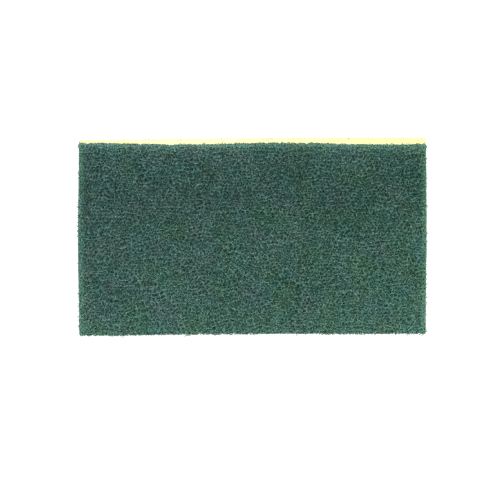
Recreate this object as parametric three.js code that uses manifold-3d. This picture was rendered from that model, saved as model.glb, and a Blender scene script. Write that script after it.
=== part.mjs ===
// Sponge-backed scouring pad: a green nonwoven nylon web bonded face to face with a yellow
// cellulose sponge. Both layers are cut from one laminated sheet by the same die, so they
// share one outline.
//
// Units are millimetres and +Z is up. The sponge lies on z = 0, centred on the origin, and the
// scouring face is on top. +X runs along the pad and +Y across it.

import * as THREE from "three";
import { mergeVertices } from "three/addons/utils/BufferGeometryUtils.js";
import Module from "manifold-3d";

const wasm = await Module();
wasm.setup();

// Overall size
const padLength = 159;
const padWidth = 89;
const webThickness = 6.5;
const spongeThickness = 11.5;

// The die-cut outline
const cornerRadius = 0.8;
const frontEdgeRise = 0.9; // how much further back the front edge lies at its right-hand end
const riseSpan = { from: -1.1, to: 0.25 }; // where the front edge climbs, -1 to 1 along the pad
const spongeCell = 9; // spacing of the points that trace the waves along the sponge's cut sides

// The long waves of each cut edge: how many it has, where they start, and how far they fall back
const edgeWaves = {
  left: { count: 1, phase: 0.1, depth: 0.5 },
  right: { count: 1, phase: -0.3, depth: 0.3 },
  front: { count: 3, phase: 1.2, depth: 0.15 },
  back: { count: 1.7, phase: -1, depth: 0.8 },
};

// The fibre web's surface
const reliefDepth = 0.7; // from the highest tufts of fibre to the lowest hollows
const sideRelief = 0.35; // how far hollows reach into the cut sides
const edgeDrop = 0.45; // how far the rim of the face has sunk, where the die pressed on it
const tuftSpacing = 2.7;
const webRows = 3; // rows of faces down the cut sides
const webSeed = 7;

// The sponge's open pores
const poreCount = 100;
const triesPerPore = 20; // places tried, on average, before a crowded sponge is left with fewer
const smallestPore = 0.8; // radius
const largestPore = 2.9; // radius
const facetedPore = 1.5; // radius under which a pore is cut as a plain twenty-sided ball
const flattestPore = 0.6; // least thickness of a pore, as a share of its width
const poreWall = 0.5; // least sponge left between two pores, or between a pore and an edge
const restingLand = 5; // radius of the flat patch without pores in the middle of the underside
const poreSeed = 23;

const scouringFaceHeight = spongeThickness + webThickness;

// Returns a function that gives the next number, from 0 to 1, of a repeatable random series.
function randomSeries(seed) {
  let state = seed;
  return () => {
    state = (state + 0x6d2b79f5) | 0;
    let mixed = Math.imul(state ^ (state >>> 15), state | 1);
    mixed ^= mixed + Math.imul(mixed ^ (mixed >>> 7), mixed | 61);
    return ((mixed ^ (mixed >>> 14)) >>> 0) / 2 ** 32;
  };
}

// How far a cut edge lies inside the full rectangle. along runs from -1 to 1 down the edge.
function edgeFallback(along, { count, phase, depth }) {
  return (depth * (1 - Math.cos(Math.PI * along * count + phase))) / 2;
}

// The point of the die's outline area at u, v, each from -1 to 1 over the full rectangle.
function insideOutline(u, v) {
  const left = -padLength / 2 + edgeFallback(v, edgeWaves.left);
  const right = padLength / 2 - edgeFallback(v, edgeWaves.right);
  const rise = frontEdgeRise * THREE.MathUtils.smoothstep(u, riseSpan.from, riseSpan.to);
  const front = -padWidth / 2 + rise + edgeFallback(u, edgeWaves.front);
  const back = padWidth / 2 - edgeFallback(u, edgeWaves.back);
  return [
    THREE.MathUtils.lerp(left, right, (u + 1) / 2),
    THREE.MathUtils.lerp(front, back, (v + 1) / 2),
  ];
}

// Moves a grid line so that the first and last cells are as wide as the corner radius and the
// rest share what is left. at and the result run from -1 to 1.
function gradedLine(at, cells, halfSpan) {
  const line = Math.round(((at + 1) / 2) * cells);
  if (line === 0 || line === cells) return at;
  const inner = 1 - cornerRadius / halfSpan;
  return THREE.MathUtils.mapLinear(line, 1, cells - 1, -inner, inner);
}

// A block of the laminate between two heights, with the die's outline and rounded corners.
// shape(point, rim) may move each vertex; rim tells on which sides of the block it lies.
function cutBlock(low, high, cells, shape = () => {}) {
  const box = new THREE.BoxGeometry(2, 2, 2, cells.x, cells.y, cells.z);
  box.deleteAttribute("normal");
  box.deleteAttribute("uv");
  const block = mergeVertices(box);
  const places = block.attributes.position;
  const point = new THREE.Vector3();
  for (let i = 0; i < places.count; i++) {
    point.fromBufferAttribute(places, i);
    const rim = { x: Math.abs(point.x) === 1, y: Math.abs(point.y) === 1, top: point.z === 1 };
    const u = gradedLine(point.x, cells.x, padLength / 2);
    const v = gradedLine(point.y, cells.y, padWidth / 2);
    const [x, y] = insideOutline(u, v);
    point.set(x, y, THREE.MathUtils.mapLinear(point.z, -1, 1, low, high));
    if (rim.x && rim.y) {
      const pull = cornerRadius * (1 - Math.SQRT1_2);
      point.x -= Math.sign(point.x) * pull;
      point.y -= Math.sign(point.y) * pull;
    }
    shape(point, rim);
    places.setXYZ(i, point.x, point.y, point.z);
  }
  return block;
}

// A closed three.js geometry, with its shared vertices merged, as a solid that can be cut.
function solidOf(geometry) {
  return new wasm.Manifold(
    new wasm.Mesh({
      numProp: 3,
      vertProperties: new Float32Array(geometry.attributes.position.array),
      triVerts: new Uint32Array(geometry.index.array),
    }),
  );
}

// The triangles of a cut solid as a three.js geometry with flat faces.
function geometryOf(solid) {
  const mesh = solid.getMesh();
  const geometry = new THREE.BufferGeometry();
  geometry.setAttribute("position", new THREE.BufferAttribute(mesh.vertProperties, 3));
  geometry.setIndex(new THREE.BufferAttribute(mesh.triVerts, 1));
  const faceted = geometry.toNonIndexed();
  faceted.computeVertexNormals();
  return faceted;
}

// The part of a solid between two heights, cut off flat.
function sliceBetween(solid, low, high) {
  const slab = new THREE.BoxGeometry(2 * padLength, 2 * padWidth, high - low);
  slab.translate(0, 0, (low + high) / 2);
  slab.deleteAttribute("normal");
  slab.deleteAttribute("uv");
  return solid.intersect(solidOf(mergeVertices(slab)));
}

// The nylon web: tufts and hollows on its face and sides, a rim pressed down by the die, and a
// flat underside at the glue line.
function makeWeb() {
  const random = randomSeries(webSeed);
  const allowance = webThickness / webRows / 2; // cut off again at the glue line
  const cells = {
    x: Math.round(padLength / tuftSpacing),
    y: Math.round(padWidth / tuftSpacing),
    z: webRows + 1,
  };
  const low = spongeThickness - allowance;
  const block = cutBlock(low, scouringFaceHeight, cells, (point, rim) => {
    const hollow = random();
    if (rim.top) point.z -= reliefDepth * hollow + (rim.x || rim.y ? edgeDrop : 0);
    if (rim.x) point.x -= Math.sign(point.x) * sideRelief * random();
    if (rim.y) point.y -= Math.sign(point.y) * sideRelief * random();
  });
  return sliceBetween(solidOf(block), spongeThickness, scouringFaceHeight);
}

// Picks where a pore opens: on the underside, or on one of the four cut sides.
function porePlace(random, radius) {
  const along = 2 * random() - 1;
  const across = 2 * random() - 1;
  const up = THREE.MathUtils.lerp(radius + poreWall, spongeThickness - radius - poreWall, random());
  const sideArea = 2 * (padLength + padWidth) * spongeThickness;
  const onSide = random() < sideArea / (sideArea + padLength * padWidth);
  if (!onSide) return new THREE.Vector3(...insideOutline(along, across), 0);
  const end = random() < 0.5 ? -1 : 1;
  const onLongSide = random() < padLength / (padLength + padWidth);
  const [x, y] = onLongSide ? insideOutline(along, end) : insideOutline(end, across);
  return new THREE.Vector3(x, y, up);
}

// True if a pore there would reach the resting land or another pore, open over an edge of the
// sponge, or come near the glue line.
function isCrowded(place, radius, pores) {
  const reach = radius + poreWall;
  const { left, right, front, back } = edgeWaves;
  const toSideX = padLength / 2 - Math.max(left.depth, right.depth) - Math.abs(place.x);
  const toSideY =
    padWidth / 2 - Math.max(frontEdgeRise + front.depth, back.depth) - Math.abs(place.y);
  const onUnderside = place.z === 0;
  const nearEdge = onUnderside
    ? Math.min(toSideX, toSideY) < reach
    : Math.max(toSideX, toSideY) < reach || Math.min(place.z, spongeThickness - place.z) < reach;
  const onLand = onUnderside && place.length() < restingLand + reach;
  return (
    nearEdge || onLand || pores.some((pore) => pore.place.distanceTo(place) < pore.radius + reach)
  );
}

// The open pores, as squashed and turned balls that are cut out of the sponge.
function makePores() {
  const random = randomSeries(poreSeed);
  const pores = [];
  for (let tries = 0; tries < triesPerPore * poreCount && pores.length < poreCount; tries++) {
    const radius = THREE.MathUtils.lerp(smallestPore, largestPore, random() ** 2);
    const place = porePlace(random, radius);
    if (!isCrowded(place, radius, pores)) pores.push({ place, radius });
  }
  return pores.map(({ place, radius }) => {
    const ball = new THREE.IcosahedronGeometry(radius, radius < facetedPore ? 0 : 1);
    ball.deleteAttribute("normal");
    ball.deleteAttribute("uv");
    const squash = () => THREE.MathUtils.lerp(flattestPore, 1, random());
    ball.scale(1, squash(), squash());
    ball.rotateX(Math.PI * random());
    ball.rotateZ(Math.PI * random());
    ball.translate(place.x, place.y, place.z);
    return solidOf(mergeVertices(ball));
  });
}

// The cellulose sponge, flat where it rests and where it is glued, with pores everywhere else.
function makeSponge() {
  const cells = {
    x: Math.round(padLength / spongeCell),
    y: Math.round(padWidth / spongeCell),
    z: 1,
  };
  const block = solidOf(cutBlock(0, spongeThickness, cells));
  return makePores().reduce((sponge, pore) => sponge.subtract(pore), block);
}

// One layer as a named mesh.
function layer(name, solid, color, roughness) {
  const material = new THREE.MeshStandardMaterial({ color, roughness, metalness: 0 });
  const mesh = new THREE.Mesh(geometryOf(solid), material);
  mesh.name = name;
  return mesh;
}

const scouringPad = new THREE.Group();
scouringPad.add(layer("nylon_web", makeWeb(), 0x3d5c53, 0.85));
scouringPad.add(layer("sponge", makeSponge(), 0xf2e88c, 0.95));

export default scouringPad;
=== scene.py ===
"""Looks of the sponge-backed scouring pad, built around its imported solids.

The pad lies with its yellow sponge on the floor and its green nylon web on top. The web is a
tangle of resin-coated fibres over a dented core, and the sponge is full of open pores.
Pieces are worked out in millimetres and made in metres. +X runs along the pad and +Y across it.
"""

import itertools
import math

import bpy
import numpy as np
from mathutils import Matrix, Vector


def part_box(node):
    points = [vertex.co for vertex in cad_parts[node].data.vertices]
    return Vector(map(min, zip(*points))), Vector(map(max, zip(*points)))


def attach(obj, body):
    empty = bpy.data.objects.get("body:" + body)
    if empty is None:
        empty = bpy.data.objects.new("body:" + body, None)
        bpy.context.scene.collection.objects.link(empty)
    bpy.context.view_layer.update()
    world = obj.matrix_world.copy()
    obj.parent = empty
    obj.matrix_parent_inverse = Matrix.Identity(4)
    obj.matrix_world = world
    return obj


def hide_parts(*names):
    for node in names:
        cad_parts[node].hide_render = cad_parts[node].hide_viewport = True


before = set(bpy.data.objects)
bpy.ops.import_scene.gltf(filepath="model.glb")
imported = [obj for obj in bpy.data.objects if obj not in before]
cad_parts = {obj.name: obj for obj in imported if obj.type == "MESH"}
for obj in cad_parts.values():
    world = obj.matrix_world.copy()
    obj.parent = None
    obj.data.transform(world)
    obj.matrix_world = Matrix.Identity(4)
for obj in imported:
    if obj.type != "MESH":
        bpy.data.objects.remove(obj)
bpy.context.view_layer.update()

MM = 0.001
WHITE = (1, 1, 1, 1)
TINY = 1e-9

# Heights of the two layers, read from the solids
GLUE_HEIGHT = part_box("sponge")[1][2] / MM
FACE_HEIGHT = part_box("nylon_web")[1][2] / MM

# The die-cut outline, as the solids have it
HALF_LENGTH = 79.5
HALF_WIDTH = 44.5
CORNER_RADIUS = 0.8
FRONT_EDGE_RISE = 0.9
RISE_FROM, RISE_TO = -1.1, 0.25
# The long waves of each edge: how many it has, where they start, and how far they fall back
LEFT_WAVES = (1, 0.1, 0.5)
RIGHT_WAVES = (1, -0.3, 0.3)
FRONT_WAVES = (3, 1.2, 0.15)
BACK_WAVES = (1.7, -1.0, 0.8)

# The web's face, and the rim of it that the die pressed down
FACE_SINK = 0.25  # mean depth of the face below the highest tuft
FACE_RELIEF = 0.16
FACE_WAVES = ((9, 3), (4, 4))  # wavelength and seed of its shallow waves
RIM_WIDTH = 2.0
RIM_DROP = 0.55

# The fibres: how many, how deep below the face, and the length and number of their steps
FACE_FIBRES = {"count": 10000, "depths": (0.0, 0.7), "step": 0.55, "points": 13}
RIM_FIBRES = {"count": 2400, "depths": (0.4, 6.4), "step": 0.65, "points": 11}
FIBRE_RADIUS = (0.14, 0.22)
FIBRE_SEED = 11
FIBRES_PER_PIECE = 2600
FEWEST_POINTS = 3  # a shorter bit of fibre is left out
RIM_REACH = (0.0, 0.6)  # how far inside the outline the rim's fibres lie
STRAY_SHARE = 0.06  # share of the fibres that may stick out of the outline
STRAY_REACH = (0.2, 0.8)  # how far beyond it those may reach

# How a fibre runs, with its turns in radians
FACE_TURN = 0.8  # spread of the directions in the face, about the pad's length
RIM_TURN = 0.5  # spread of the directions at the rim, about the cut edge
CURL = 0.06  # spread of a fibre's steady turn in each millimetre
SWINGS = ((8, 0.6), (3.5, 0.7))  # wavelength and size of its turns to and fro
SWING_LENGTHS = (0.7, 1.4)  # how much longer or shorter they are in one fibre than in another
SWING_SIZES = (0.5, 1.4)
BOB_LENGTHS = (2.4, 6)  # wavelength and size of its waves up and down
BOB_SIZES = (0.15, 0.5)

# The fibres' cross-section, and the layout of their map for baking
TUBE_CORNERS = (90, 210, 330)  # degrees
UV_COLUMNS = 16
UV_MARGINS = (0.05, 0.1)  # share of a tube's strip left free at each end and along each side
UV_CAP = 0.004  # width of the patch for a tube's end

# The dents between strands of fibre
DENT_SPACING = 1.55
DENT_WANDER = 0.4  # how far the rows of dents wander, in spacings
DENT_WANDER_LENGTH = 14
DENT_JITTER = 0.4  # width of the patch that a dent's middle may lie in, in spacings
DENT_RADIUS = 0.45
DENT_DEPTH = 1.2
DENT_PUSH = 0.35  # how far fibres are pushed aside, out of a dent
SIDE_DENT_DEPTH = 0.9
SIDE_SHIFT = 3 * HALF_LENGTH  # keeps the pattern of one cut side from showing on the next
DENT_SEED = 61

# The core under the fibres
CORE_DEPTH = 0.8
CORE_INSETS = (0.6, 0.9)  # at the glue line and at the core's top
CORE_CELL = 0.6
CORE_ROWS = 12
CORE_ROUGHNESS = 0.12
CORE_LUMP = 2.6  # wavelength of the roughness
CORE_LUMP_LIMIT = 1.5
CORE_FREE_SHARE = 0.25  # share of the height over which it grows from nothing at the glue line
CORE_SEEDS = (31, 32, 33)
CORE_TONE = 0.72

# How pale the web is, with painted shade that darkens fibres lying below the face
FIBRE_TONES = (0.7, 0.94)
BURIED_SHADE_TONE = 0.02  # painted shade: the share of its tone that a fibre keeps far below the face
SHADE_FADE_DEPTH = 0.75  # depth by which most of the rest has faded into that painted shade
MEAN_TONE = 0.96
FRONT_LIFT, FRONT_SHARPNESS = 0.105, 3  # the front half is paler than the back half
BACK_EDGE_LIFT, FRONT_EDGE_LIFT = 0.16, 0.26  # the long edges are paler than the middle
CORNER_LIFT = 0.115  # the front right corner is palest
TONE_PATCHES = ((40, 5, 0.04), (12, 6, 0.025))  # wavelength, seed and strength
RIM_LIFT = 0.42  # how much paler the fibres are near the cut edges
EDGE_LIFT = 0.65  # how much paler again right at the ends and the back

# How green the web is, from 0 for teal to 1 for green
MEAN_GREEN = 0.5
GREEN_TO_RIGHT, GREEN_TO_FRONT = 0.32, 0.25
GREEN_PATCHES = (20, 8, 0.18)  # wavelength, seed and strength
RIM_GREEN, EDGE_GREEN = 0.45, 0.225

# The paler and greener rim
END_RIM_WIDTH = 3.2
SIDE_RIM_WIDTH = 4.5
BACK_RIM, FRONT_RIM = 0.4, 0.15  # its strength along the long edges, where the ends have 1
EDGE_BAND = (0.2, 1.4)  # depths between which the band right at the edge fades away

# The sponge
SPONGE_BACK_RISE = 1.1  # about how much further back its foot lies at the right than at the left
SPONGE_RISE_FROM, SPONGE_RISE_TO = -1.3, 0.6
SPONGE_BACK_REACH = 0.3  # how far the foot at the right lies beyond the full rectangle
SPONGE_LEAN_FROM = 0.9  # where the lean of its back side starts, -1 to 1 across the pad
SPONGE_CELL = 0.62
SPONGE_ROWS = 26
GLUE_WALL = 0.4  # least sponge between a pore and the glue line

# The sponge's pores
# Spacing, largest radius and share of the places filled, for each size of pore
PORE_SIZES = ((7.0, 2.4, 0.3), (4.2, 1.5, 0.5), (2.4, 0.9, 0.65), (1.4, 0.55, 0.75))
SMALLEST_PORE = 0.45  # share of the largest radius
DEEPEST_PORE = 4.0
PORE_BEND = 0.3  # how far its wall is bent out of round, and over what length, in radii
PORE_BEND_LENGTH = 2.5
PORE_SEED, BEND_SEED = 100, 40
PORE_SHADE_DEPTH = 2  # a pore has its full painted shade from this depth on
YELLOW_FROM, YELLOW_TO = -0.4, 1.1  # where the sponge turns more yellow, -1 to 1 along the pad

# The mixing of whole numbers into random ones
HASH_PRIMES = (73856093, 19349663, 83492791)
HASH_STEP = 40503
HASH_MIX = 0x45D9F3B
HASH_MASK = 0xFFFFFFFF

# Colours, as red, green and blue from 0 to 255
# The dark colours are both the darkest fibres' own colour and the painted shade deep in the web
DARK_SHADED_TEAL, DARK_SHADED_GREEN = (0, 30, 23), (0, 30, 18)
PALE_TEAL, PALE_GREEN = (111, 140, 135), (101, 141, 120)
PATCH_TEAL = (91, 143, 137)
RIM_COLOUR = (97, 144, 115)
SPONGE_PALE, SPONGE_DEEP = (250, 245, 196), (247, 239, 182)
SPONGE_YELLOW = (247, 239, 150)
# Painted shade deep inside the sponge's pores
PORE_SHADE_COLOUR = (206, 176, 88)

# The web's material
GRAIN_LENGTH, GRAIN_STRETCH = 0.55, 1.5  # of the specks of tone on a fibre
GRAIN_RANGE, GRAIN_TONES = (0.3, 0.7), (0.35, 1.4)  # the noise that counts, and what it becomes
TONE_RANGE = (0.03, 0.97)  # tones that have the darkest and the palest colour
TEAL_LENGTH, TEAL_RANGE, TEAL_SHARE = 9, (0.38, 0.68), 0.6  # of the patches with more teal
RIM_SHARE = 0.3  # how much of the rim's own colour is mixed in there

# The sponge's material
MOTTLE_LENGTH, MOTTLE_RANGE = 9, (0.35, 0.65)
YELLOW_SHARE = 0.5
PORE_SHADE_RANGE, PORE_SHADE_SHARE = (0.1, 0.9), 0.85
CELL_LENGTH, CELL_DETAIL = 0.5, 3  # of the finest cells, which are only a bump
BUMP_HEIGHT, BUMP_STRENGTH = 0.25, 0.6

# The stage
FLOOR_HALF = 30000
FLOOR_GAP = 0.02  # between the floor and the pad, so that they don't flicker
FLOOR_GREY, FLOOR_GLOW = 0.2, 0.95
ROOM_LIGHT = 0.4

# The photograph's frame
FRAME_PIXELS = 500
PIXELS_PER_MM = 2.1935
PAD_MIDDLE_PIXEL = (252.3, 241.1)
CAMERA_TILT = math.radians(10.5)
CAMERA_DISTANCE = 6000
CAMERA_REACH = 100000
SENSOR_WIDTH = 36


def smooth_step(value, low, high):
    """0 below low, 1 above high, and an even rise between them."""
    share = np.clip((value - low) / (high - low), 0, 1)
    return share * share * (3 - 2 * share)


def waves(points, wavelength, seed, count=24, spread=(0.7, 1.5)):
    """Smooth noise at points, about 1 high, made of plane waves of about that wavelength."""
    rng = np.random.default_rng(seed)
    total = np.zeros(len(points))
    for _ in range(count):
        way = rng.normal(size=points.shape[1])
        way *= 2 * math.pi / (wavelength * rng.uniform(*spread)) / np.linalg.norm(way)
        total += np.cos(points @ way + rng.uniform(0, 2 * math.pi))
    return total * math.sqrt(2 / count)


def edge_fallback(along, edge_waves):
    """How far a cut edge lies inside the full rectangle, at along from -1 to 1."""
    wave_count, phase, depth = edge_waves
    return depth * (1 - np.cos(math.pi * along * wave_count + phase)) / 2


def side_lines(x, y):
    """Where the left, right, front and back edges lie beside the points x, y."""
    u, v = x / HALF_LENGTH, y / HALF_WIDTH
    left = -HALF_LENGTH + edge_fallback(v, LEFT_WAVES)
    right = HALF_LENGTH - edge_fallback(v, RIGHT_WAVES)
    rise = FRONT_EDGE_RISE * smooth_step(u, RISE_FROM, RISE_TO)
    front = -HALF_WIDTH + rise + edge_fallback(u, FRONT_WAVES)
    back = HALF_WIDTH - edge_fallback(u, BACK_WAVES)
    return left, right, front, back


def depth_inside(x, y):
    """How far the points lie inside the cut outline, below 0 for points outside it."""
    left, right, front, back = side_lines(x, y)
    to_end = np.minimum(x - left, right - x)
    to_side = np.minimum(y - front, back - y)
    in_corner = np.hypot(
        np.maximum(CORNER_RADIUS - to_end, 0),
        np.maximum(CORNER_RADIUS - to_side, 0),
    )
    return np.where(
        (to_end < CORNER_RADIUS) & (to_side < CORNER_RADIUS),
        CORNER_RADIUS - in_corner,
        np.minimum(to_end, to_side),
    )


def outline_place(u, v, inset=0.0):
    """The point of the cut outline's area at u, v, each from -1 to 1, kept inset from its edges."""
    left, right, front, back = side_lines(u * HALF_LENGTH, v * HALF_WIDTH)
    x = left + inset + (right - left - 2 * inset) * (u + 1) / 2
    y = front + inset + (back - front - 2 * inset) * (v + 1) / 2
    return x, y


def face_height(x, y):
    """Height of the web's face: long shallow waves, and a rim that the die pressed down."""
    places = np.stack([x, y], axis=-1)
    relief = sum(waves(places, wavelength, seed) for wavelength, seed in FACE_WAVES)
    drop = RIM_DROP * (1 - smooth_step(depth_inside(x, y), 0, RIM_WIDTH)) ** 2
    return FACE_HEIGHT - FACE_SINK + FACE_RELIEF * relief / 2 - drop


def make_mesh(name, points, face_groups, values=None, uv=None):
    """A smooth-shaded object. Each group holds faces of one kind, and values are for its points."""
    mesh = bpy.data.meshes.new(name)
    sides = np.concatenate([np.full(len(faces), faces.shape[1]) for faces in face_groups])
    corners = np.concatenate([faces.ravel() for faces in face_groups])
    mesh.vertices.add(len(points))
    mesh.vertices.foreach_set("co", (points * MM).astype(np.float32).ravel())
    mesh.loops.add(len(corners))
    mesh.loops.foreach_set("vertex_index", corners.astype(np.int32))
    mesh.polygons.add(len(sides))
    mesh.polygons.foreach_set("loop_start", (np.cumsum(sides) - sides).astype(np.int32))
    mesh.update(calc_edges=True)
    mesh.shade_smooth()
    for key, value in (values or {}).items():
        attribute = mesh.attributes.new(key, "FLOAT", "POINT")
        attribute.data.foreach_set("value", value.astype(np.float32))
    if uv is not None:
        layer = mesh.uv_layers.new(name="OFBake", do_init=False)
        layer.uv.foreach_set("vector", uv.astype(np.float32).ravel())
    piece = bpy.data.objects.new(name, mesh)
    bpy.context.scene.collection.objects.link(piece)
    return piece


def dents(points):
    """How deep each point lies in the dents between strands, and which way leads out of them.

    The dents lie in staggered rows that wander, each near the middle of a cell of its own.
    """
    wander = [waves(points, DENT_WANDER_LENGTH, DENT_SEED + k) for k in (3, 4)]
    places = points / DENT_SPACING + DENT_WANDER * np.stack(wander, axis=-1)
    depth, way_out = np.zeros(len(points)), np.zeros(points.shape)
    for up in (-1, 0, 1):
        row = np.floor(places[:, 1]).astype(np.int64) + up
        stagger = 0.5 * (row % 2)
        for along in (-1, 0, 1):
            column = np.floor(places[:, 0] - stagger).astype(np.int64) + along
            cell = np.stack([column, row, np.zeros_like(row)], axis=-1)
            jitter = [DENT_JITTER * (hashed(cell, DENT_SEED + k) - 0.5) for k in (1, 2)]
            middle = np.stack([column + stagger + 0.5 + jitter[0], row + 0.5 + jitter[1]], axis=-1)
            offset = (places - middle) * DENT_SPACING / DENT_RADIUS
            near = np.exp(-np.sum(offset**2, axis=1))
            depth += near
            way_out += offset * near[:, None]
    return depth, way_out


def side_dents(points):
    """How deep each point lies in the dents of the cut side nearest to it, and the way inward."""
    x, y, z = points.T
    left, right, front, back = side_lines(x, y)
    nearest = np.argmin(np.stack([x - left, right - x, y - front, back - y]), axis=0)
    inward = np.array([(1.0, 0, 0), (-1, 0, 0), (0, 1, 0), (0, -1, 0)])[nearest]
    along = np.where(nearest < 2, y, x) + SIDE_SHIFT * nearest
    return dents(np.stack([along, z], axis=-1))[0], inward


def wiggly_headings(rng, heading, s):
    """The directions of fibres at s along each, as they curl and swing about their headings."""
    fibres = (len(heading), 1)
    heading = heading[:, None] + rng.normal(0, CURL, fibres) * s
    for wavelength, swing in SWINGS:
        period = wavelength * rng.uniform(*SWING_LENGTHS, fibres)
        phase = rng.uniform(0, 2 * math.pi, fibres)
        size = swing * rng.uniform(*SWING_SIZES, fibres)
        heading = heading + size * np.sin(2 * math.pi * s / period + phase)
    return heading


def fibre_paths(rng, x, y, depth, heading, step, points):
    """Wiggly centre lines through the given places, each about depth below the face."""
    fibres = (len(x), 1)
    middle = points // 2
    s = (np.arange(points) - middle) * step
    heading = wiggly_headings(rng, heading, s)
    path_x = np.cumsum(step * np.cos(heading), axis=1)
    path_y = np.cumsum(step * np.sin(heading), axis=1)
    path_x += x[:, None] - path_x[:, middle : middle + 1]
    path_y += y[:, None] - path_y[:, middle : middle + 1]
    bob_length, bob_phase = rng.uniform(*BOB_LENGTHS, fibres), rng.uniform(0, 2 * math.pi, fibres)
    bob = rng.uniform(*BOB_SIZES, fibres) * np.sin(2 * math.pi * s / bob_length + bob_phase)
    dent_depth, way_out = dents(np.stack([path_x.ravel(), path_y.ravel()], axis=-1))
    path_x += DENT_PUSH * way_out[:, 0].reshape(path_x.shape)
    path_y += DENT_PUSH * way_out[:, 1].reshape(path_y.shape)
    top = face_height(path_x.ravel(), path_y.ravel()).reshape(path_x.shape)
    down = np.maximum(depth[:, None] + bob + DENT_DEPTH * dent_depth.reshape(path_x.shape), 0)
    height = np.maximum(top - FIBRE_RADIUS[1] - down, GLUE_HEIGHT + FIBRE_RADIUS[1])
    return np.stack([path_x, path_y, height], axis=-1)


def inside_stretches(rng, paths):
    """The stretches of each path within the cut outline, ended on it or a stray bit beyond it."""
    stretches = []
    stray = rng.uniform(*STRAY_REACH, len(paths)) * (rng.uniform(size=len(paths)) < STRAY_SHARE)
    depths = depth_inside(paths[..., 0], paths[..., 1]) + stray[:, None]
    for path, depth in zip(paths, depths):
        inside = np.concatenate(([False], depth > 0, [False]))
        ends = np.flatnonzero(inside[1:] != inside[:-1])
        for first, last in zip(ends[::2], ends[1::2]):
            points = list(path[first:last])
            if first > 0:
                share = depth[first] / (depth[first] - depth[first - 1])
                points.insert(0, path[first] + share * (path[first - 1] - path[first]))
            if last < len(path):
                share = depth[last - 1] / (depth[last - 1] - depth[last])
                points.append(path[last - 1] + share * (path[last] - path[last - 1]))
            if len(points) >= FEWEST_POINTS:
                stretches.append(np.array(points))
    return stretches


def tube_points(stretches, radii):
    """The corners of three-sided tubes along the stretches, ring by ring."""
    centre = np.concatenate(stretches)
    tangent = np.concatenate([np.gradient(stretch, axis=0) for stretch in stretches])
    tangent /= np.linalg.norm(tangent, axis=1, keepdims=True) + TINY
    side = np.cross(tangent, (0, 0, 1.0))
    side /= np.linalg.norm(side, axis=1, keepdims=True) + TINY
    up = np.cross(side, tangent)
    radius = np.repeat(radii, [len(stretch) for stretch in stretches])[:, None]
    angles = np.radians(TUBE_CORNERS)
    rings = [centre + radius * (np.cos(angle) * side + np.sin(angle) * up) for angle in angles]
    return np.stack(rings, axis=1).reshape(-1, 3)


def tube_faces(lengths):
    """The triangles of closed tubes of that many rings each, and their places in a map."""
    owner = np.repeat(np.arange(len(lengths)), lengths)
    starts = np.cumsum(lengths) - lengths
    rows = math.ceil(len(lengths) / UV_COLUMNS)
    share = (np.arange(len(owner)) - starts[owner]) / (lengths[owner] - 1)
    at_end, at_side = UV_MARGINS
    along = (owner % UV_COLUMNS) / UV_COLUMNS + (at_end + (1 - 2 * at_end) * share) / UV_COLUMNS

    def place(ring, turn):
        low = (owner[ring] // UV_COLUMNS) / rows
        return np.stack([along[ring], low + (at_side + (1 - 2 * at_side) * turn / 3) / rows], axis=-1)

    ring = np.flatnonzero(owner[1:] == owner[:-1])
    faces, uvs = [], []
    for k in range(3):
        a, b = 3 * ring + k, 3 * ring + (k + 1) % 3
        c, d = b + 3, a + 3
        faces += [np.stack([a, b, c], 1), np.stack([a, c, d], 1)]
        a, b = place(ring, k), place(ring, k + 1)
        c, d = place(ring + 1, k + 1), place(ring + 1, k)
        uvs += [np.stack([a, b, c], 1), np.stack([a, c, d], 1)]
    last = starts + lengths - 1
    faces += [3 * starts[:, None] + (2, 1, 0), 3 * last[:, None] + (0, 1, 2)]
    for end in (starts, last):
        uvs.append(np.stack([place(end, 0), place(end, 1), place(end, 1) + (UV_CAP, 0)], 1))
    return np.concatenate(faces), np.concatenate(uvs)


def scattered(rng, count, half_x, half_y):
    """About count places spread evenly over a rectangle, each anywhere in a small cell of its own."""
    columns = round(math.sqrt(count * half_x / half_y))
    rows = round(count / columns)
    column, row = np.divmod(np.arange(columns * rows), rows)
    x = (column + rng.uniform(size=len(column))) / columns
    y = (row + rng.uniform(size=len(row))) / rows
    return half_x * (2 * x - 1), half_y * (2 * y - 1)


def face_fibre_paths(rng, count, depths, step, points):
    """Fibres that lie anywhere in the face, between two depths, with a bias along the pad."""
    reach = step * points / 2
    x, y = scattered(rng, count, HALF_LENGTH + reach, HALF_WIDTH + reach)
    heading = rng.normal(0, FACE_TURN, len(x))
    return fibre_paths(rng, x, y, rng.uniform(*depths, len(x)), heading, step, points)


def rim_fibre_paths(rng, count, depths, step, points):
    """Fibres that lie along the four cut sides, over the web's whole thickness."""
    around = rng.uniform(0, 4 * (HALF_LENGTH + HALF_WIDTH), count)
    inward = rng.uniform(*RIM_REACH, count)
    on_long = around < 4 * HALF_LENGTH
    along_long = around % (2 * HALF_LENGTH) - HALF_LENGTH
    along_short = (around - 4 * HALF_LENGTH) % (2 * HALF_WIDTH) - HALF_WIDTH
    sign = np.where(rng.uniform(size=count) < 0.5, -1, 1)
    left, right, front, back = side_lines(along_long, along_short)
    x = np.where(on_long, along_long, np.where(sign < 0, left + inward, right - inward))
    y = np.where(on_long, np.where(sign < 0, front + inward, back - inward), along_short)
    heading = rng.normal(0, RIM_TURN, count) + np.where(on_long, 0, math.pi / 2)
    paths = fibre_paths(rng, x, y, rng.uniform(*depths, count), heading, step, points)
    dent_depth, inward = side_dents(paths.reshape(-1, 3))
    return paths + (SIDE_DENT_DEPTH * dent_depth[:, None] * inward).reshape(paths.shape)


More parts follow.
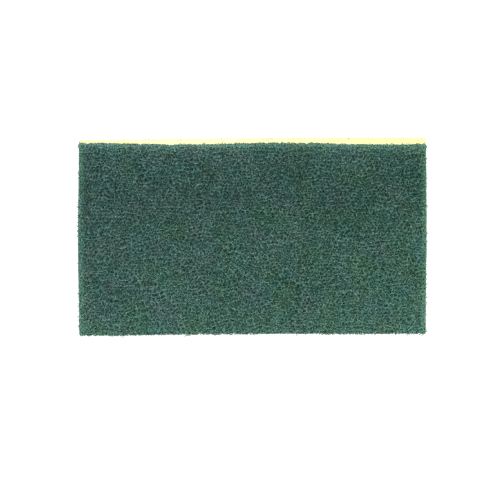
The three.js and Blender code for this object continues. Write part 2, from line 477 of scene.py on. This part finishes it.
def make_fibres():
    """All the web's fibres, shared out over a few pieces."""
    rng = np.random.default_rng(FIBRE_SEED)
    stretches = inside_stretches(rng, face_fibre_paths(rng, **FACE_FIBRES))
    stretches += inside_stretches(rng, rim_fibre_paths(rng, **RIM_FIBRES))
    order = rng.permutation(len(stretches))
    pieces = []
    for start in range(0, len(stretches), FIBRES_PER_PIECE):
        chosen = [stretches[i] for i in order[start : start + FIBRES_PER_PIECE]]
        lengths = np.array([len(stretch) for stretch in chosen])
        points = tube_points(chosen, rng.uniform(*FIBRE_RADIUS, len(chosen)))
        tone = np.repeat(rng.uniform(*FIBRE_TONES, len(chosen)), 3 * lengths)
        faces, uv = tube_faces(lengths)
        name = f"web_fibres_{len(pieces) + 1}"
        pieces.append(make_mesh(name, points, [faces], web_values(points, tone), uv))
    return pieces


def rim_strengths(x, y):
    """How strongly the points lie in the paler rim, and in the band right at the cut edge."""
    left, right, front, back = side_lines(x, y)
    to_end = np.minimum(x - left, right - x)
    at_back = 1 - smooth_step(back - y, 0, SIDE_RIM_WIDTH)
    at_front = 1 - smooth_step(y - front, 0, SIDE_RIM_WIDTH)
    rim = 1 - smooth_step(to_end, 0, END_RIM_WIDTH) + BACK_RIM * at_back + FRONT_RIM * at_front
    edge = 1 - smooth_step(np.minimum(to_end, back - y), *EDGE_BAND)
    return rim, edge


def tone_over_face(places):
    """The web's tone at the places, as it changes slowly over the pad and in soft patches."""
    u, v = places[:, 0] / HALF_LENGTH, places[:, 1] / HALF_WIDTH
    lift = -FRONT_LIFT * np.tanh(FRONT_SHARPNESS * v)
    lift += np.where(v > 0, BACK_EDGE_LIFT, FRONT_EDGE_LIFT) * v**4
    lift += CORNER_LIFT * np.maximum(u, 0) ** 2 * (1 - v)
    tone = MEAN_TONE + lift
    for wavelength, seed, strength in TONE_PATCHES:
        tone += strength * waves(places, wavelength, seed)
    return tone


def green_over_face(places):
    """How green the web is at the places, away from its rim."""
    u, v = places[:, 0] / HALF_LENGTH, places[:, 1] / HALF_WIDTH
    wavelength, seed, strength = GREEN_PATCHES
    patches = strength * waves(places, wavelength, seed)
    return MEAN_GREEN + GREEN_TO_RIGHT * u - GREEN_TO_FRONT * v + patches


def web_values(points, tone):
    """What the web's material reads at each point: how pale it is with painted shade, how near the
    rim, how green.
    """
    x, y, z = points.T
    places = points[:, :2]
    buried = np.minimum(face_height(x, y) - z, depth_inside(x, y)) - FIBRE_RADIUS[1]
    # Painted shade: the deeper a point lies below the face or inside the cut sides, the darker it is
    light = BURIED_SHADE_TONE + (1 - BURIED_SHADE_TONE) * np.exp(-np.maximum(buried, 0) / SHADE_FADE_DEPTH)
    rim, edge = rim_strengths(x, y)
    return {
        "tone": tone * light * tone_over_face(places) * (1 + RIM_LIFT * rim + EDGE_LIFT * edge),
        "green": green_over_face(places) + RIM_GREEN * rim + EDGE_GREEN * edge,
        "rim": rim,
    }


def closed_grid(across, along, up, fine_end, place):
    """A closed block of quads at place(u, v, w), with a plain fan over the end that isn't fine.

    u and v run from -1 to 1 and w from 0 to 1. fine_end is 1 for the top and 0 for the bottom.
    """
    index = {}

    def point(i, j, k):
        return index.setdefault((i, j, k), len(index))

    quads = []
    fine, plain = (up, 0) if fine_end else (0, up)
    for i in range(across):
        for j in range(along):
            corners = [(i, j), (i + 1, j), (i + 1, j + 1), (i, j + 1)]
            quad = [point(m, n, fine) for m, n in corners]
            quads.append(quad if fine_end else quad[::-1])
    ring = [(i, 0) for i in range(across)] + [(across, j) for j in range(along)]
    ring += [(across - i, along) for i in range(across)] + [(0, along - j) for j in range(along)]
    fan = []
    for (i, j), (m, n) in zip(ring, ring[1:] + ring[:1]):
        for k in range(up):
            quads.append([point(i, j, k), point(m, n, k), point(m, n, k + 1), point(i, j, k + 1)])
        rim = [point(i, j, plain), point(m, n, plain)]
        fan.append((rim[::-1] if fine_end else rim) + [point(across / 2, along / 2, plain)])
    grid = np.array(list(index))
    places = place(2 * grid[:, 0] / across - 1, 2 * grid[:, 1] / along - 1, grid[:, 2] / up)
    return places, [np.array(quads), np.array(fan)]


def make_core():
    """The dense middle of the web, seen between the fibres, with the same dents as they have."""

    def place(u, v, w):
        low, high = CORE_INSETS
        x, y = outline_place(u, v, low + (high - low) * w**2)
        dent_depth = dents(np.stack([x, y], axis=-1))[0] * (w == 1)
        top = face_height(x, y) - CORE_DEPTH - DENT_DEPTH * dent_depth
        points = np.stack([x, y, GLUE_HEIGHT + w * (top - GLUE_HEIGHT)], axis=-1)
        free = np.minimum(1, w / CORE_FREE_SHARE)
        for axis, seed in enumerate(CORE_SEEDS):
            lumps = np.clip(waves(points, CORE_LUMP, seed), -CORE_LUMP_LIMIT, CORE_LUMP_LIMIT)
            points[:, axis] += CORE_ROUGHNESS * free * lumps
        dent_depth, inward = side_dents(points)
        on_side = (np.maximum(np.abs(u), np.abs(v)) == 1) & (w < 1)
        return points + (SIDE_DENT_DEPTH * dent_depth * free * on_side)[:, None] * inward

    across, along = round(2 * HALF_LENGTH / CORE_CELL), round(2 * HALF_WIDTH / CORE_CELL)
    points, face_groups = closed_grid(across, along, CORE_ROWS, 1, place)
    return make_mesh("web_core", points, face_groups, web_values(points, CORE_TONE))


def hashed(corners, seed):
    """A repeatable random number from 0 to 1 for each cell corner."""
    mixed = np.bitwise_xor.reduce(corners * np.array(HASH_PRIMES), axis=1)
    mixed = (mixed + seed * HASH_STEP) & HASH_MASK
    for _ in range(2):
        mixed = ((mixed ^ (mixed >> 16)) * HASH_MIX) & HASH_MASK
    return ((mixed ^ (mixed >> 16)) & 0xFFFFFF) / 0x1000000


def depth_in_pores(points, inward, cell, radius, share, seed):
    """How far each point has to move inward to leave the pores that it lies in."""
    home = np.floor(points / cell).astype(np.int64)
    depth = np.zeros(len(points))
    for step in itertools.product((-1, 0, 1), repeat=3):
        corner = home + step
        jitter = np.stack([hashed(corner, seed + k) for k in (1, 2, 3)], axis=-1)
        filled = hashed(corner, seed) < share
        size = radius * (SMALLEST_PORE + (1 - SMALLEST_PORE) * hashed(corner, seed + 4)) * filled
        offset = points - (corner + jitter) * cell
        along = np.einsum("ij,ij->i", offset, inward)
        outside = np.einsum("ij,ij->i", offset, offset) - size**2
        far = -along + np.sqrt(np.maximum(along**2 - outside, 0))
        depth = np.where(outside < 0, np.maximum(depth, far), depth)
    return depth


def sunk_in_pores(points, inward, free):
    """The points, where they are free to move, sunk to the walls of the pores that they lie in."""
    moved = points.copy()
    for number, (cell, radius, share) in enumerate(PORE_SIZES):
        seeds = [BEND_SEED + number + k for k in (0, 10, 20)]
        bends = [waves(moved, PORE_BEND_LENGTH * radius, seed) for seed in seeds]
        bent = moved + PORE_BEND * radius * np.stack(bends, axis=-1)
        depth = depth_in_pores(bent, inward, cell, radius, share, PORE_SEED + 10 * number)
        moved += (np.minimum(depth, DEEPEST_PORE) * free)[:, None] * inward
    return moved


def sponge_back(u):
    """Where the sponge's back edge lies at the floor: straight, and further back to the right."""
    rise = SPONGE_BACK_RISE * (1 - smooth_step(u, SPONGE_RISE_FROM, SPONGE_RISE_TO))
    return HALF_WIDTH - rise + SPONGE_BACK_REACH


def smooth_sponge(u, v, w):
    """The sponge without its pores: the points at u, v, w, and the way inward from each."""
    x, y = outline_place(u, v)
    lean = (1 - w) * smooth_step(v, SPONGE_LEAN_FROM, 1)
    y += lean * (sponge_back(u) - side_lines(x, y)[3])
    at_end, at_side = np.abs(u) == 1, np.abs(v) == 1
    pull = CORNER_RADIUS * (1 - math.sqrt(0.5)) * (at_end & at_side)
    points = np.stack([x - np.sign(u) * pull, y - np.sign(v) * pull, w * GLUE_HEIGHT], axis=-1)
    inward = np.stack([-np.sign(u) * at_end, -np.sign(v) * at_side, 1.0 * (w == 0)], axis=-1)
    return points, inward / np.maximum(np.linalg.norm(inward, axis=1, keepdims=True), 1)


def make_sponge():
    """The cellulose sponge, with open pores in its sides and underside."""
    depths = []

    def place(u, v, w):
        points, inward = smooth_sponge(u, v, w)
        free = w < 1
        moved = sunk_in_pores(points, inward, free)
        moved[:, 2] = np.minimum(moved[:, 2], GLUE_HEIGHT - GLUE_WALL * free)
        depths.append(np.linalg.norm(moved - points, axis=1))
        return moved

    across, along = round(2 * HALF_LENGTH / SPONGE_CELL), round(2 * HALF_WIDTH / SPONGE_CELL)
    points, face_groups = closed_grid(across, along, SPONGE_ROWS, 0, place)
    values = {
        # Depth in a pore, which the material turns into painted shade
        "pore": np.minimum(depths[0], PORE_SHADE_DEPTH) / PORE_SHADE_DEPTH,
        "yellow": smooth_step(points[:, 0] / HALF_LENGTH, YELLOW_FROM, YELLOW_TO),
    }
    return make_mesh("sponge_block", points, face_groups, values)


def new_material(name, roughness, specular):
    """A material with its Principled shader, its node tree and the tree's links."""
    material = bpy.data.materials.new(name)
    material.use_nodes = True
    nodes, links = material.node_tree.nodes, material.node_tree.links
    shader = nodes["Principled BSDF"]
    shader.inputs["Roughness"].default_value = roughness
    shader.inputs["Specular IOR Level"].default_value = specular
    return material, nodes, links, shader


def linear(colour):
    """An sRGB colour, 0 to 255, as the linear colour that shaders take."""
    srgb = np.array(colour) / 255
    return (*np.where(srgb <= 0.04045, srgb / 12.92, ((srgb + 0.055) / 1.055) ** 2.4), 1.0)


def noise(nodes, links, wavelength, detail=2.0, stretch=1.0):
    """A noise texture of about that wavelength in millimetres, stretched along the pad."""
    coordinates = nodes.new("ShaderNodeTexCoord")
    scaling = nodes.new("ShaderNodeMapping")
    scaling.inputs["Scale"].default_value = (1 / stretch, 1, 1)
    links.new(coordinates.outputs["Object"], scaling.inputs["Vector"])
    texture = nodes.new("ShaderNodeTexNoise")
    texture.inputs["Scale"].default_value = 1 / (wavelength * MM)
    texture.inputs["Detail"].default_value = detail
    links.new(scaling.outputs["Vector"], texture.inputs["Vector"])
    return texture.outputs["Fac"]


def attribute(nodes, name):
    """A value that the mesh holds for each of its points."""
    node = nodes.new("ShaderNodeAttribute")
    node.attribute_name = name
    return node.outputs["Fac"]


def fill(links, socket, value):
    """Links an output to the socket, or sets it to a number or colour."""
    if isinstance(value, bpy.types.NodeSocket):
        links.new(value, socket)
    else:
        socket.default_value = value


def mix(nodes, links, share, first, second):
    """The two colours mixed; each may be a colour or an output."""
    node = nodes.new("ShaderNodeMix")
    node.data_type = "RGBA"
    for key, value in (("Factor", share), ("A", first), ("B", second)):
        fill(links, node.inputs[key], value)
    return node.outputs["Result"]


def mapped(nodes, links, value, span, to_span=(0, 1)):
    """value moved from one range into another."""
    node = nodes.new("ShaderNodeMapRange")
    links.new(value, node.inputs["Value"])
    for key, number in zip(("From Min", "From Max", "To Min", "To Max"), (*span, *to_span)):
        node.inputs[key].default_value = number
    return node.outputs["Result"]


def times(nodes, links, first, second):
    """The product of two numbers."""
    node = nodes.new("ShaderNodeMath")
    node.operation = "MULTIPLY"
    fill(links, node.inputs[0], first)
    fill(links, node.inputs[1], second)
    return node.outputs["Value"]


def web_material():
    """Green resin-coated nylon: fibres of many tones, grainy along their length, in faint patches,
    and painted shade deep down.
    """
    material, nodes, links, shader = new_material("green_nylon", roughness=0.6, specular=0.02)
    grain = noise(nodes, links, GRAIN_LENGTH, detail=0, stretch=GRAIN_STRETCH)
    grain = mapped(nodes, links, grain, GRAIN_RANGE, GRAIN_TONES)
    tone = times(nodes, links, attribute(nodes, "tone"), grain)
    green = attribute(nodes, "green")
    dark_and_shade = mix(nodes, links, green, linear(DARK_SHADED_TEAL), linear(DARK_SHADED_GREEN))
    light = mix(nodes, links, green, linear(PALE_TEAL), linear(PALE_GREEN))
    teal_share = mapped(nodes, links, noise(nodes, links, TEAL_LENGTH), TEAL_RANGE, (0, TEAL_SHARE))
    light = mix(nodes, links, teal_share, light, linear(PATCH_TEAL))
    # Low tones, most of them painted shade below the face, take the dark colours
    toned = mix(nodes, links, mapped(nodes, links, tone, TONE_RANGE), dark_and_shade, light)
    at_rim = mapped(nodes, links, attribute(nodes, "rim"), (0, 1), (0, RIM_SHARE))
    links.new(mix(nodes, links, at_rim, toned, linear(RIM_COLOUR)), shader.inputs["Base Color"])
    return material


def sponge_material():
    """Pale yellow cellulose, a little mottled, with fine grain and a deeper colour of painted shade
    in its pores.
    """
    material, nodes, links, shader = new_material("yellow_cellulose", roughness=0.9, specular=0.2)
    mottle = mapped(nodes, links, noise(nodes, links, MOTTLE_LENGTH), MOTTLE_RANGE)
    skin = mix(nodes, links, mottle, linear(SPONGE_PALE), linear(SPONGE_DEEP))
    yellow = mapped(nodes, links, attribute(nodes, "yellow"), (0, 1), (0, YELLOW_SHARE))
    skin = mix(nodes, links, yellow, skin, linear(SPONGE_YELLOW))
    # Painted shade: the deeper a point lies in a pore, the more of the darker colour it takes
    pore_shade = mapped(nodes, links, attribute(nodes, "pore"), PORE_SHADE_RANGE, (0, PORE_SHADE_SHARE))
    links.new(mix(nodes, links, pore_shade, skin, linear(PORE_SHADE_COLOUR)), shader.inputs["Base Color"])
    bump = nodes.new("ShaderNodeBump")
    bump.inputs["Distance"].default_value = BUMP_HEIGHT * MM
    bump.inputs["Strength"].default_value = BUMP_STRENGTH
    links.new(noise(nodes, links, CELL_LENGTH, CELL_DETAIL), bump.inputs["Height"])
    links.new(bump.outputs["Normal"], shader.inputs["Normal"])
    return material


def floor_material():
    """The pale table, which glows a little, as a light table does."""
    material, _, _, shader = new_material("pale_floor", roughness=0.8, specular=0.2)
    shader.inputs["Base Color"].default_value = (FLOOR_GREY, FLOOR_GREY, FLOOR_GREY, 1)
    shader.inputs["Emission Color"].default_value = WHITE
    shader.inputs["Emission Strength"].default_value = FLOOR_GLOW
    return material


def make_sun(name, towards, strength, angle):
    """A soft light far away in the direction given, with the angle that it seems to fill."""
    light = bpy.data.lights.new(name, "SUN")
    light.energy = strength
    light.angle = math.radians(angle)
    lamp = bpy.data.objects.new(name, light)
    lamp.rotation_mode = "QUATERNION"
    lamp.rotation_quaternion = Vector(towards).to_track_quat("Z", "Y")
    bpy.context.scene.collection.objects.link(lamp)


def make_stage():
    """The floor and the soft light of a white room."""
    corners = FLOOR_HALF * np.array([(-1.0, -1, 0), (1, -1, 0), (1, 1, 0), (-1, 1, 0)])
    floor = make_mesh("floor", corners - (0, 0, FLOOR_GAP), [np.array([[0, 1, 2, 3]])])
    floor.data.materials.append(floor_material())
    world = bpy.data.worlds.new("room")
    world.use_nodes = True
    world.node_tree.nodes["Background"].inputs["Color"].default_value = WHITE
    world.node_tree.nodes["Background"].inputs["Strength"].default_value = ROOM_LIGHT
    bpy.context.scene.world = world
    make_sun("overhead", towards=(0.12, 0.2, 1), strength=4.3, angle=40)
    make_sun("back_fill", towards=(0.1, 1.0, 0.7), strength=0.35, angle=40)


def make_camera():
    """Almost overhead, leaning to the back so that the sponge shows above the web's back edge."""
    away = Vector((0, math.sin(CAMERA_TILT), math.cos(CAMERA_TILT)))
    right = Vector((1, 0, 0))
    up = away.cross(right)
    shift_x = (FRAME_PIXELS / 2 - PAD_MIDDLE_PIXEL[0]) / PIXELS_PER_MM
    shift_y = (PAD_MIDDLE_PIXEL[1] - FRAME_PIXELS / 2) / PIXELS_PER_MM
    aim = Vector((0, 0, FACE_HEIGHT)) + right * shift_x + up * shift_y
    place = (aim + away * CAMERA_DISTANCE) * MM
    data = bpy.data.cameras.new("camera")
    data.sensor_width = SENSOR_WIDTH
    data.lens = SENSOR_WIDTH * CAMERA_DISTANCE * PIXELS_PER_MM / FRAME_PIXELS
    data.clip_end = CAMERA_REACH * MM
    camera = bpy.data.objects.new("camera", data)
    camera.matrix_world = Matrix((
        (right.x, up.x, away.x, place.x),
        (right.y, up.y, away.y, place.y),
        (right.z, up.z, away.z, place.z),
        (0, 0, 0, 1),
    ))
    bpy.context.scene.collection.objects.link(camera)
    bpy.context.scene.camera = camera


def add_piece(piece, material, node):
    """Gives a piece its material, hangs it on the root body, and hides the node that it stands in
    for.
    """
    piece.data.materials.append(material)
    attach(piece, "root")
    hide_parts(node)


def add_pieces():
    """The web's core and fibres, and the sponge under them."""
    green = web_material()
    for piece in [make_core(), *make_fibres()]:
        add_piece(piece, green, "nylon_web")
    add_piece(make_sponge(), sponge_material(), "sponge")


make_camera()
make_stage()
add_pieces()
bpy.context.scene.view_settings.view_transform = "Standard"
bpy.context.scene.cycles.use_denoising = False
